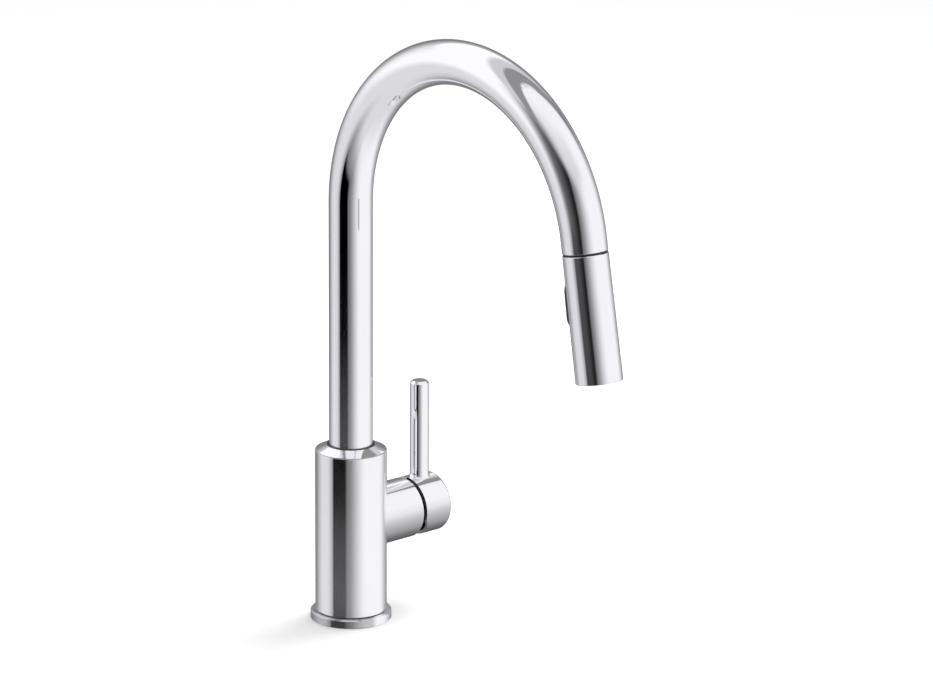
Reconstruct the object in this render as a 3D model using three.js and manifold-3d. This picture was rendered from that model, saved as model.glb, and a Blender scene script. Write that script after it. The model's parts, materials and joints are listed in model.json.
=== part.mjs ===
// Pull-down kitchen faucet: column with a side lever, swivelling gooseneck, spray head on a hose.
// Millimetres, +Z up. Origin: centre of the underside of the base ring, on the deck.
// The spout points along -Y, the handle along +X.
import * as THREE from 'three';
import { mergeVertices } from 'three/addons/utils/BufferGeometryUtils.js';
import Module from 'manifold-3d';

const wasm = await Module();
wasm.setup();

// ---- driving dimensions ----
const FINE = 32; // facets round the large shells
const GAP = 0.3; // clearance between pieces that touch on the real object
const SLIDE = 0.4; // clearance of a piece that turns or slides in another

// deck fixing
const RING_R = 27.15; // base ring
const RING_H = 5;
const RING_CHAMFER = 0.8;
const DECK_T = 25; // worktop between the ring and the washers
const SHANK_R = 16; // M32 threaded shank
const SHANK_BORE = 13.5;
const SHANK_LENGTH = 58; // below the deck
const GASKET_T = 1.2;
const GASKET_INNER = 18;
const GASKET_OUTER = 23.5;
const WASHER_R = 28;
const RUBBER_WASHER_T = 2.5;
const STEEL_WASHER_T = 2;
const NUT_R = 27; // mounting nut, centre to corner
const NUT_H = 10;
const JACK_SCREW_R = 2;
const JACK_SCREW_LENGTH = 15;
const JACK_SCREW_HEAD_R = 3.4;

// column
const BODY_R = 24;
const BODY_WALL = 3;
const BODY_TOP = 117.5;
const BODY_FOOT = 0.6; // bevel at the foot
const COLLAR_RISE = 3.8;

// spout
const SPOUT_R = 14.6;
const SPOUT_WALL = 1.7;
const ARC_R = 112; // bend radius of the centreline
const ARC_Z = 287.5; // height of the bend's centre
const OUTLET_TILT = THREE.MathUtils.degToRad(10); // outlet axis away from vertical
const BEND_STEPS = 24;
const OUTLET_RUN = 9.5; // straight run from the bend to the top of the spray head
const FERRULE_R = 17.4;
const FERRULE_LENGTH = 20;
const FERRULE_Z = 90;

// hose
const HOSE_R = 5.5;
const HOSE_SHIFT = 7; // the hose passes the valve on this side of the column's axis
const HOSE_SPLIT_Z = 100; // height where the turning stretch of the hose begins

// side hub and cartridge, distances along X from the column's axis
const HUB_Z = 66.8;
const HUB_R = 20.4;
const SLEEVE_END = 47.5;
const SLEEVE_BORE = 18;
const CUP_BACK = 3;
const CUP_FLOOR = 12;
const CUP_SHOULDER = 35.7;
const CUP_END = 43.5;
const CARTRIDGE_R = 14;
const HOUSING_BORE = 12;
const NECK_R = 9.6; // turning neck of the cartridge
const PIVOT_X = 37; // tilt axis of the handle
const DISC_R = 8.4;
const PORT_R = 2.4;
const PORTS = [[-6, -3], [6, -3], [0, 6]]; // water ways through the cartridge's base: [y, up from the axis]
const INLETS = [[8, -9], [8, 9], [15, 0]]; // bosses under the cup: [x, y]
const INLET_LOW = 40; // underside of the bosses
const STEM_R = 3.6;
const STEM_TIP_R = 2.4;

// handle
const CAP_START = 50.2;
const CAP_END = 73;
const CAP_WALL = 2.2;
const CAP_FILLET = 2.5;
const CAP_CUT_DROP = 4; // the tilt relief starts this far under the hub axis
const CAP_CUT_ANGLE = THREE.MathUtils.degToRad(22);
const LEVER_X = 61;
const LEVER_R = 6.45;
const LEVER_TOP = 153.5;
const LEVER_CHAMFER = 1.6;
const LEVER_SOCKET = 8.4; // depth of the lever in the cap
const SCREW_R = 2.5;

// spray head, distances down its own axis from the top rim
const HEAD_TOP_R = 14.66;
const HEAD_END_R = 15.17;
const HEAD_LENGTH = 81.5;
const HEAD_BORE = 13.3;
const SEAM = 1.5; // between the spout's end and the spray head
const HOSE_FERRULE_TOP = 8.5; // above the top rim
const DOCK_WALL = 1.5;
const DOCK_R = SPOUT_R - SPOUT_WALL - GAP - DOCK_WALL; // bore of the docking bush
const DOCK_LENGTH = 9;
const COLLAR_LENGTH = 13;
const FACE_RECESS = 1.5;
const NOZZLES = 12;
const NOZZLE_RING_R = 10.2;
const AERATOR_R = 6.9;
const WATERWAY_START = 19.3;
const WATERWAY_END = 71.5;
const SOCKET_START = 8;
const TOGGLE_CENTRE = 32;
const TOGGLE_LENGTH = 30;
const TOGGLE_WIDTH = 14.6;
const TOGGLE_PROUD = 2.2;
const TOGGLE_GAP = 0.8;
const TOGGLE_PIN_Y = 8.6;
const TOGGLE_PIN_R = 0.9;
const INLET_BORE_Y = -5.8;
const SPOOL_Y = 2.6;
const SPOOL_R = 2.4;

// ---- materials ----
const finish = (color, roughness, metalness) =>
  new THREE.MeshStandardMaterial({ color, roughness, metalness });
const chrome = finish(0xd8dade, 0.08, 1);
const brass = finish(0xb8923f, 0.35, 1);
const steel = finish(0xa9abad, 0.4, 1);
const rubber = finish(0x141414, 0.85, 0);
const blackPlastic = finish(0x1b1b1d, 0.5, 0);
const greyPlastic = finish(0x55585c, 0.5, 0);
const whitePlastic = finish(0xe4e2dc, 0.45, 0);
const ceramic = finish(0xf2efe8, 0.25, 0);
const braid = finish(0x8b8d90, 0.5, 0.6);

// ---- solids ----
function toSolid(geometry) {
  const bare = geometry.clone();
  bare.deleteAttribute('normal');
  bare.deleteAttribute('uv');
  const merged = mergeVertices(bare, 1e-4);
  const vertProperties = new Float32Array(merged.attributes.position.array);
  const triVerts = new Uint32Array(merged.index.array);
  return new wasm.Manifold(new wasm.Mesh({ numProp: 3, vertProperties, triVerts }));
}

function toGeometry(solid) {
  const { vertProperties, triVerts } = solid.getMesh();
  const geometry = new THREE.BufferGeometry();
  geometry.setAttribute('position', new THREE.BufferAttribute(vertProperties, 3));
  geometry.setIndex(new THREE.BufferAttribute(triVerts, 1));
  return geometry;
}

const cut = (solid, ...tools) => tools.reduce((rest, tool) => rest.subtract(tool), solid);
const join = (...solids) => solids.reduce((all, solid) => all.add(solid));

function mesh(name, solid, material) {
  const geometry = toGeometry(solid);
  geometry.computeVertexNormals();
  const piece = new THREE.Mesh(geometry, material);
  piece.name = name;
  return piece;
}

// A profile of [radius, height] pairs turned about Z.
function turned(profile, segments = 20) {
  const points = profile.map(([radius, height]) => new THREE.Vector2(radius, height));
  return toSolid(new THREE.LatheGeometry(points, segments).rotateX(Math.PI / 2));
}

function rod(radius, low, high, segments = 16) {
  return turned([[0, low], [radius, low], [radius, high], [0, high]], segments);
}

function ring(outer, inner, low, high, segments = 20) {
  return turned([[inner, low], [outer, low], [outer, high], [inner, high], [inner, low]], segments);
}

const box = (sx, sy, sz, x, y, z) => toSolid(new THREE.BoxGeometry(sx, sy, sz).translate(x, y, z));

// Turns a solid made along Z so that it lies along X or Y.
const alongX = (solid) => solid.rotate([0, 90, 0]);
const alongY = (solid) => solid.rotate([-90, 0, 0]);

// The centreline of the spout: one step up, BEND_STEPS round the bend and one down the tilted outlet.
class Gooseneck extends THREE.Curve {
  constructor(startZ, run) {
    super();
    this.startZ = startZ;
    this.run = run;
  }

  getUtoTmapping(u) {
    return u;
  }

  getPoint(t, target = new THREE.Vector3()) {
    const step = t * (BEND_STEPS + 2);
    if (step < 1) return target.set(0, 0, THREE.MathUtils.lerp(this.startZ, ARC_Z, step));
    const angle = (Math.PI - OUTLET_TILT) * Math.min((step - 1) / BEND_STEPS, 1);
    const along = this.run * Math.max(step - BEND_STEPS - 1, 0);
    const y = -ARC_R * (1 - Math.cos(angle)) - along * Math.sin(OUTLET_TILT);
    const z = ARC_Z + ARC_R * Math.sin(angle) - along * Math.cos(OUTLET_TILT);
    return target.set(0, y, z);
  }
}

function swept(path, outer, inner, steps, sides) {
  const shape = new THREE.Shape().absarc(0, 0, outer, 0, 2 * Math.PI, false);
  if (inner > 0) shape.holes.push(new THREE.Path().absarc(0, 0, inner, 0, 2 * Math.PI, true));
  const options = { steps, extrudePath: path, curveSegments: sides, bevelEnabled: false };
  return toSolid(new THREE.ExtrudeGeometry(shape, options));
}

// ---- deck fixing ----
function deckFixing() {
  const recess = ring(GASKET_OUTER + GAP, GASKET_INNER - GAP, -1, GASKET_T + GAP, FINE);
  const bore = SHANK_R + SLIDE;
  const chamferR = RING_R - RING_CHAMFER;
  const chamferZ = RING_H - RING_CHAMFER;
  const plate = turned([[bore, 0], [RING_R, 0], [RING_R, chamferZ], [chamferR, RING_H],
    [bore, RING_H], [bore, 0]], FINE);

  const bodyBore = BODY_R - BODY_WALL - GAP;
  const headLow = RING_H + GAP;
  const shank = turned([[SHANK_BORE, -SHANK_LENGTH], [SHANK_R, -SHANK_LENGTH], [SHANK_R, headLow],
    [bodyBore, headLow], [bodyBore, headLow + 7], [SHANK_BORE, headLow + 7], [SHANK_BORE, -SHANK_LENGTH]]);

  const rubberTop = -DECK_T;
  const rubberLow = rubberTop - RUBBER_WASHER_T;
  const steelTop = rubberLow - GAP;
  const steelLow = steelTop - STEEL_WASHER_T;
  const nutTop = steelLow - GAP;
  const screwX = (NUT_R * Math.cos(Math.PI / 6) + bore) / 2;
  const screwHole = rod(JACK_SCREW_R + GAP, nutTop - NUT_H - 1, nutTop + 1, 12);
  const nut = cut(rod(NUT_R, nutTop - NUT_H, nutTop, 6), rod(bore, nutTop - NUT_H - 1, nutTop + 1),
    screwHole.translate([screwX, 0, 0]), screwHole.translate([-screwX, 0, 0]));
  const shaft = rod(JACK_SCREW_R, nutTop - JACK_SCREW_LENGTH, nutTop - 0.1, 12);
  const headZ = nutTop - JACK_SCREW_LENGTH;
  const jackScrew = join(shaft, rod(JACK_SCREW_HEAD_R, headZ - 3, headZ, 6));
  return [
    mesh('base_ring', cut(plate, recess), chrome),
    mesh('deck_gasket', ring(GASKET_OUTER, GASKET_INNER, 0, GASKET_T, FINE), rubber),
    mesh('threaded_shank', shank, brass),
    mesh('rubber_washer', ring(WASHER_R, bore, rubberLow, rubberTop), rubber),
    mesh('clamp_washer', ring(WASHER_R - 2, bore, steelLow, steelTop), steel),
    mesh('mounting_nut', nut, brass),
    mesh('jack_screw_right', jackScrew.translate([screwX, 0, 0]), steel),
    mesh('jack_screw_left', jackScrew.translate([-screwX, 0, 0]), steel),
  ];
}

// ---- column ----
function column() {
  const bore = BODY_R - BODY_WALL;
  const low = RING_H + GAP;
  const outside = turned([[0, low], [BODY_R - BODY_FOOT, low], [BODY_R, low + BODY_FOOT],
    [BODY_R, BODY_TOP], [0, BODY_TOP]], FINE);
  const sleeve = alongX(rod(HUB_R, 0, SLEEVE_END, FINE)).translate([0, 0, HUB_Z]);
  // a lip inside the sleeve takes the shoulder of the valve's cup
  const lipR = SLEEVE_BORE - 1.4;
  const lipEnd = CUP_SHOULDER + 3.3;
  const innerHub = alongX(join(rod(SLEEVE_BORE, 0, CUP_SHOULDER + GAP, FINE), rod(lipR, 0, lipEnd + 1, FINE),
    rod(SLEEVE_BORE + 0.2, lipEnd, SLEEVE_END + 1, FINE))).translate([0, 0, HUB_Z]);
  const body = cut(join(outside, sleeve), rod(bore, low - 1, BODY_TOP + 1, FINE), innerHub);

  const throat = SPOUT_R + GAP;
  const slipOuter = throat + 0.8;
  const coneTop = BODY_TOP + COLLAR_RISE;
  const coneLow = BODY_TOP + GAP;
  const skirt = bore - GAP;
  const skirtLow = coneLow - 5;
  const slipLow = coneTop - 2.5;
  const collar = turned([[throat, skirtLow], [skirt, skirtLow], [skirt, coneLow], [BODY_R, coneLow],
    [slipOuter + GAP, coneTop], [slipOuter + GAP, slipLow], [throat, slipLow], [throat, skirtLow]], FINE);
  const bushTop = FERRULE_Z + FERRULE_LENGTH + 2;
  const bushBore = FERRULE_R + SLIDE;
  const bushLow = FERRULE_Z - 1.8;
  const bush = turned([[throat, bushLow], [skirt, bushLow], [skirt, bushTop], [bushBore, bushTop],
    [bushBore, FERRULE_Z - GAP], [throat, FERRULE_Z - GAP], [throat, bushLow]]);
  return [
    mesh('body_shell', body, chrome),
    mesh('spout_collar', collar, chrome),
    mesh('collar_slip_ring', ring(slipOuter, throat, coneTop - 2.2, coneTop + 0.1, FINE), blackPlastic),
    mesh('swivel_bush', bush, blackPlastic),
  ];
}

// ---- valve in the side hub, made along Z from the column's axis and laid along X ----
function portPlate(outer, low, high, hole, segments = 20) {
  const bores = PORTS.map(([across, up]) => rod(hole, low - 1, high + 1, 12).translate([-up, across, 0]));
  return cut(rod(outer, low, high, segments), ...bores);
}

function valve() {
  const cup = CARTRIDGE_R + SLIDE;
  const neckR = SLEEVE_BORE - 1.4 - SLIDE;
  const cupR = SLEEVE_BORE - SLIDE;
  const outer = turned([[0, CUP_BACK], [cupR, CUP_BACK], [cupR, CUP_SHOULDER], [neckR, CUP_SHOULDER],
    [neckR, CUP_END], [0, CUP_END]], 24);
  const bosses = INLETS.map(([x, y]) => rod(6, INLET_LOW, HUB_Z - 8).translate([x, y, 0]));
  const bores = INLETS.map(([x, y]) => rod(4.2, INLET_LOW - 1, INLET_LOW + 12, 16).translate([x, y, 0]));
  // drillings in the cup's floor join each boss to its port
  const drillX = (CUP_BACK + CUP_FLOOR) / 2;
  const drillings = PORTS.map(([y, up]) => alongX(rod(PORT_R, drillX - 1, CUP_FLOOR + 1, 12))
    .translate([0, y, HUB_Z + up]));
  const risers = [rod(2, INLET_LOW + 8, HUB_Z - 3, 12).translate([drillX + 0.5, -7, 0]),
    rod(2, INLET_LOW + 8, HUB_Z - 3, 12).translate([drillX + 0.5, 7, 0]),
    rod(2, INLET_LOW + 8, HUB_Z + 6, 12).translate([drillX + 2, 0, 0])];
  const hubBore = alongX(rod(cup, CUP_FLOOR, CUP_END + 1, 24)).translate([0, 0, HUB_Z]);
  const block = join(alongX(outer).translate([0, 0, HUB_Z]), ...bosses);
  const valveBody = cut(block, hubBore, ...bores, ...drillings, ...risers);

  const nippleLow = INLET_LOW - 10;
  const nippleTop = INLET_LOW + 9;
  const nipple = cut(join(rod(3.9, nippleLow, nippleTop, 16), rod(5.2, nippleLow, INLET_LOW - GAP, 6)),
    rod(2.4, nippleLow - 1, nippleTop + 1, 12));
  const inletNames = ['hot_inlet_nipple', 'cold_inlet_nipple', 'outlet_nipple'];
  const nipples = INLETS.map(([x, y], i) => mesh(inletNames[i], nipple.translate([x, y, 0]), brass));
  const clampNut = alongX(ring(SLEEVE_BORE - 0.1, neckR + GAP, CUP_SHOULDER + 3.6, CUP_END, FINE))
    .translate([0, 0, HUB_Z]);
  return [mesh('valve_body', valveBody, brass), mesh('cup_clamp_nut', clampNut, brass), ...nipples];
}

// ---- cartridge ----
function cartridge() {
  const toHub = (solid) => alongX(solid).translate([0, 0, HUB_Z]);
  const gasketLow = CUP_FLOOR + 0.1;
  const baseLow = gasketLow + 1.5;
  const discLow = baseLow + 4.1;
  const movingLow = discLow + 3.5;
  const driverLow = movingLow + 3.3;
  const driverTop = driverLow + 5.4;
  const carrierLow = driverTop + GAP;
  const housingStep = PIVOT_X;
  const housingTop = housingStep + 4;
  const boreTop = housingStep - 1;
  const exitBore = NECK_R + SLIDE;
  const housing = turned([[HOUSING_BORE, discLow], [CARTRIDGE_R, discLow], [CARTRIDGE_R, housingStep],
    [11.4, housingStep], [11.4, housingTop], [exitBore, housingTop], [exitBore, boreTop],
    [HOUSING_BORE, boreTop], [HOUSING_BORE, discLow]]);
  const nut = ring(CARTRIDGE_R + 0.1, 11.7, housingStep + GAP, CUP_END - GAP);

  // The driver slides along Z inside the turning carrier and holds the moving disc.
  const flats = box(2 * DISC_R, 15.2, 40, 0, 0, driverLow + 10);
  const pocket = rod(STEM_TIP_R + 1, driverTop - 3.6, driverTop + 1, 16);
  const driver = cut(rod(DISC_R, driverLow, driverTop).intersect(flats), pocket);
  const mixer = cut(rod(DISC_R, movingLow, driverLow - GAP), rod(5.4, movingLow - 1, movingLow + 1.6, 20));

  const neckTop = CUP_END - GAP;
  const flange = rod(HOUSING_BORE - SLIDE, carrierLow, boreTop - GAP);
  const neck = rod(NECK_R, carrierLow, neckTop);
  const slot = box(17, 2 * STEM_R + 1.2, 60, 0, 0, carrierLow + 20);
  const pinHole = alongY(rod(1.7, -15, 15, 12)).translate([0, 0, PIVOT_X]);
  const fingers = [1, -1].map((side) => box(10, 2.6, 6, 0, side * (7.6 + 1.3 + GAP), carrierLow - 2));
  const flangeR = HOUSING_BORE - SLIDE;
  const trimmed = fingers.map((finger) => finger.intersect(rod(flangeR, driverLow, carrierLow + 2)));
  const carrier = cut(join(flange, neck, ...trimmed), slot, pinHole);

  const stemPin = alongY(rod(1.4, -NECK_R + 0.3, NECK_R - 0.3, 12)).translate([0, 0, PIVOT_X]);
  const limitRing = ring(11.3, NECK_R + GAP, housingTop + 0.4, neckTop, 24);
  const fixed = [
    mesh('base_gasket', toHub(portPlate(12.5, gasketLow, gasketLow + 1.2, PORT_R + 0.2)), rubber),
    mesh('cartridge_base', toHub(portPlate(CARTRIDGE_R - 0.1, baseLow, discLow - GAP, PORT_R)), whitePlastic),
    mesh('fixed_disc', toHub(portPlate(HOUSING_BORE - GAP, discLow, movingLow - GAP, PORT_R)), ceramic),
    mesh('cartridge_housing', toHub(housing), whitePlastic),
    mesh('cartridge_nut', toHub(nut), brass),
  ];
  const moving = [
    mesh('moving_disc', toHub(mixer), ceramic),
    mesh('disc_driver', toHub(driver), greyPlastic),
    mesh('stem_carrier', toHub(carrier), greyPlastic),
    mesh('stem_pin', toHub(stemPin), steel),
    mesh('limit_ring', toHub(limitRing), blackPlastic),
  ];
  return [...fixed, ...moving];
}

function bonnet() {
  const low = CUP_END + GAP;
  const top = SLEEVE_END + 1.7;
  const profile = [[9.5, low], [SLEEVE_BORE - 0.2, low], [SLEEVE_BORE - 0.2, SLEEVE_END - 0.5],
    [SLEEVE_BORE - 1.9, top], [9.5, top], [9.5, low]];
  return mesh('bonnet', alongX(turned(profile, FINE)).translate([0, 0, HUB_Z]), blackPlastic);
}

// ---- handle ----
function capShell() {
  const profile = [[0, CAP_START], [HUB_R, CAP_START]];
  for (let i = 0; i <= 2; i += 1) {
    const angle = (i / 2) * (Math.PI / 2);
    profile.push([HUB_R - CAP_FILLET * (1 - Math.cos(angle)), CAP_END - CAP_FILLET * (1 - Math.sin(angle))]);
  }
  profile.push([0, CAP_END]);
  return turned(profile, FINE);
}

function handle() {
  const inner = HUB_R - CAP_WALL;
  const cavityEnd = CAP_END - 3;
  const tip = PIVOT_X - 8.5;
  const hollow = rod(inner, CAP_START - 1, cavityEnd, FINE);
  const stemHole = STEM_R + GAP;
  const bossStart = PIVOT_X + 17;
  const boss = rod(8, bossStart, cavityEnd + 1);
  const bossDepth = CAP_END - 6;
  // sockets for the lever (up) and the set screw (down)
  const leverBore = LEVER_R + GAP;
  const leverLow = HUB_R - LEVER_SOCKET;
  const upright = (solid) => solid.rotate([0, -90, 0]).translate([0, 0, LEVER_X]);
  const cavity = rod(inner + 0.4, bossStart - 10, cavityEnd);
  const leverBoss = upright(rod(LEVER_R + 1.9, 5, inner + 0.6)).intersect(cavity);
  const screwBoss = upright(rod(SCREW_R + 2.4, -inner - 0.6, -5, 16)).intersect(cavity);
  const webbed = join(cut(capShell(), hollow), boss, leverBoss, screwBoss);
  const leverSocket = upright(rod(leverBore, leverLow, HUB_R + 1));
  const screwSocket = upright(rod(SCREW_R + GAP, -HUB_R - 1, -STEM_R, 16));
  const bored = cut(webbed, rod(stemHole, bossStart - 1, bossDepth), leverSocket, screwSocket);
  const cap = alongX(bored);
  const relief = box(40, 60, 40, -20, 0, -20).rotate([0, THREE.MathUtils.radToDeg(-CAP_CUT_ANGLE), 0])
    .translate([CAP_START, 0, -CAP_CUT_DROP]);
  const finished = cut(cap, relief).translate([0, 0, HUB_Z]);

  const stemRod = rod(STEM_R, tip + 5, bossDepth - 0.6, 20);
  const stemTip = rod(STEM_TIP_R, tip - 1.5, tip + 6, 16);
  const stemPinHole = alongY(rod(1.7, -10, 10, 12)).translate([0, 0, PIVOT_X]);
  const stem = alongX(cut(join(stemRod, stemTip), stemPinHole)).translate([0, 0, HUB_Z]);

  const leverBase = HUB_Z + leverLow + GAP;
  const lever = turned([[0, leverBase], [LEVER_R, leverBase], [LEVER_R, LEVER_TOP - LEVER_CHAMFER],
    [LEVER_R - LEVER_CHAMFER, LEVER_TOP], [0, LEVER_TOP]], 32).translate([LEVER_X, 0, 0]);
  const screwTop = HUB_Z - STEM_R - GAP;
  const screwLow = screwTop - 8;
  const screw = cut(rod(SCREW_R, screwLow, screwTop, 16), rod(1.5, screwLow - 1, screwLow + 3, 6))
    .translate([LEVER_X, 0, 0]);
  const plugLow = HUB_Z - HUB_R + 0.5;
  const plug = rod(SCREW_R, plugLow, screwLow - GAP, 16).translate([LEVER_X, 0, 0]);
  return [
    mesh('handle_stem', stem, steel),
    mesh('handle_cap', finished, chrome),
    mesh('lever_rod', lever, chrome),
    mesh('handle_set_screw', screw, steel),
    mesh('screw_plug', plug, greyPlastic),
  ];
}

// ---- spout and hose ----
function spout() {
  const bore = SPOUT_R - SPOUT_WALL;
  const tube = swept(new Gooseneck(FERRULE_Z, OUTLET_RUN - SEAM), SPOUT_R, bore, BEND_STEPS + 2, 9);
  const top = FERRULE_Z + FERRULE_LENGTH;
  const inner = SPOUT_R + GAP;
  const grooveR = FERRULE_R - 1.4;
  const grooves = [FERRULE_Z + 4, top - 4].map((z) => ring(FERRULE_R + 1, grooveR, z - 1.3, z + 1.3));
  const ferrule = cut(ring(FERRULE_R, inner, FERRULE_Z, top), ...grooves);
  const slipRing = ring(FERRULE_R + 0.1, grooveR + 0.2, -1, 1);
  return [
    mesh('spout_tube', tube, chrome),
    mesh('spout_ferrule', ferrule, brass),
    mesh('lower_friction_ring', slipRing.translate([0, 0, FERRULE_Z + 4]), rubber),
    mesh('upper_friction_ring', slipRing.translate([0, 0, top - 4]), rubber),
  ];
}

function hoses() {
  // chosen by hand: up through the shank, past the valve and onto the spout's axis
  const route = [[-HOSE_SHIFT, -SHANK_LENGTH], [-HOSE_SHIFT, 0], [-HOSE_SHIFT, 45], [-HOSE_SHIFT, 66],
    [-HOSE_SHIFT * 0.5, 84], [0, HOSE_SPLIT_Z - 2], [0, HOSE_SPLIT_Z]];
  const points = route.map(([x, z]) => new THREE.Vector3(x, 0, z));
  const lower = swept(new THREE.CatmullRomCurve3(points, false, 'centripetal'), HOSE_R, 0, 12, 4);
  const upperPath = new Gooseneck(HOSE_SPLIT_Z + GAP, OUTLET_RUN - HOSE_FERRULE_TOP - GAP);
  const upper = swept(upperPath, HOSE_R, 0, BEND_STEPS + 2, 4);
  return [mesh('lower_hose', lower, braid), mesh('pull_hose', upper, braid)];
}

// ---- spray head, made along -Z from its top rim ----
const down = (low, high) => [-high, -low];

function dockBush() {
  const lipTop = SEAM - GAP;
  const sleeve = ring(SPOUT_R - SPOUT_WALL - GAP, DOCK_R, lipTop - 0.4, DOCK_LENGTH - 0.4);
  const lip = ring(HEAD_TOP_R - 0.46, DOCK_R, GAP, lipTop);
  return mesh('dock_bush', join(sleeve, lip), blackPlastic);
}

function hoseEnd() {
  const profile = [[0, -10.5], [5.6, -10.5], [5.6, -8.5], [3.9, -8.5], [3.9, -5], [HOSE_R + 0.7, -5],
    [HOSE_R + 0.7, HOSE_FERRULE_TOP], [0, HOSE_FERRULE_TOP]];
  return mesh('hose_ferrule', cut(turned(profile), rod(2.2, -11, HOSE_FERRULE_TOP - 4, 12)), steel);
}

// A slot with round ends, long along Z, from inner to outer along +Y, centred on the toggle.
function oblong(width, length, inner, outer) {
  const half = (length - width) / 2;
  const shape = new THREE.Shape();
  shape.absarc(0, half, width / 2, 0, Math.PI, false);
  shape.absarc(0, -half, width / 2, Math.PI, 2 * Math.PI, false);
  const options = { depth: outer - inner, bevelEnabled: false, curveSegments: 10 };
  const prism = new THREE.ExtrudeGeometry(shape, options).rotateX(Math.PI / 2);
  return toSolid(prism.translate(0, outer, -TOGGLE_CENTRE));
}

function toggle() {
  const crown = rod((HEAD_TOP_R + HEAD_END_R) / 2 + TOGGLE_PROUD, -60, 0, FINE);
  const tilted = crown.translate([0, 0, 30]).rotate([1.6, 0, 0]).translate([0, 0, -TOGGLE_CENTRE]);
  const button = oblong(TOGGLE_WIDTH, TOGGLE_LENGTH, 10.2, 20).intersect(tilted);
  const lug = box(TOGGLE_WIDTH - 0.6, 4.3, 5.2, 0, 8.6, -TOGGLE_CENTRE);
  const finger = box(2.4, 5.6, 2, 0, 4.6, -TOGGLE_CENTRE);
  const onPin = (solid) => alongX(solid).translate([0, TOGGLE_PIN_Y, -TOGGLE_CENTRE]);
  const hole = onPin(rod(TOGGLE_PIN_R + GAP, -20, 20, 12));
  const pin = onPin(rod(TOGGLE_PIN_R, -9, 9, 12));
  return [
    mesh('toggle_button', cut(join(button, lug, finger), hole), blackPlastic),
    mesh('toggle_pin', pin, steel),
  ];
}

function waterway() {
  const outer = HEAD_BORE - 0.4;
  const body = turned([[0, -WATERWAY_END], [outer, -WATERWAY_END], [outer, -WATERWAY_START],
    [0, -WATERWAY_START]]);
  const socket = ring(10.4, 8.7, -WATERWAY_START - 1, -SOCKET_START);
  const outletRecess = rod(11.2, -WATERWAY_END - 1, -WATERWAY_END + 5);
  const inletBore = rod(4.6, -WATERWAY_END, -WATERWAY_START + 1, 20).translate([0, INLET_BORE_Y, 0]);
  const spoolBore = rod(SPOOL_R + GAP, -TOGGLE_CENTRE - 10, -WATERWAY_START + 1, 16)
    .translate([0, SPOOL_Y, 0]);
  const pocketW = TOGGLE_WIDTH + 1.2;
  const pocket = box(pocketW, 10, TOGGLE_LENGTH + 3, 0, 9.2 + 5, -TOGGLE_CENTRE);
  const lugPocket = box(pocketW, 8, 8, 0, 5.6 + 4, -TOGGLE_CENTRE);
  const fingerPocket = box(3.6, 6, 4.6, 0, SPOOL_Y + 3, -TOGGLE_CENTRE);
  const pinHole = alongX(rod(TOGGLE_PIN_R + GAP, -20, 20, 12))
    .translate([0, TOGGLE_PIN_Y, -TOGGLE_CENTRE]);
  return cut(join(body, socket), outletRecess, inletBore, spoolBore, pocket, lugPocket, fingerPocket,
    pinHole);
}

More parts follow.
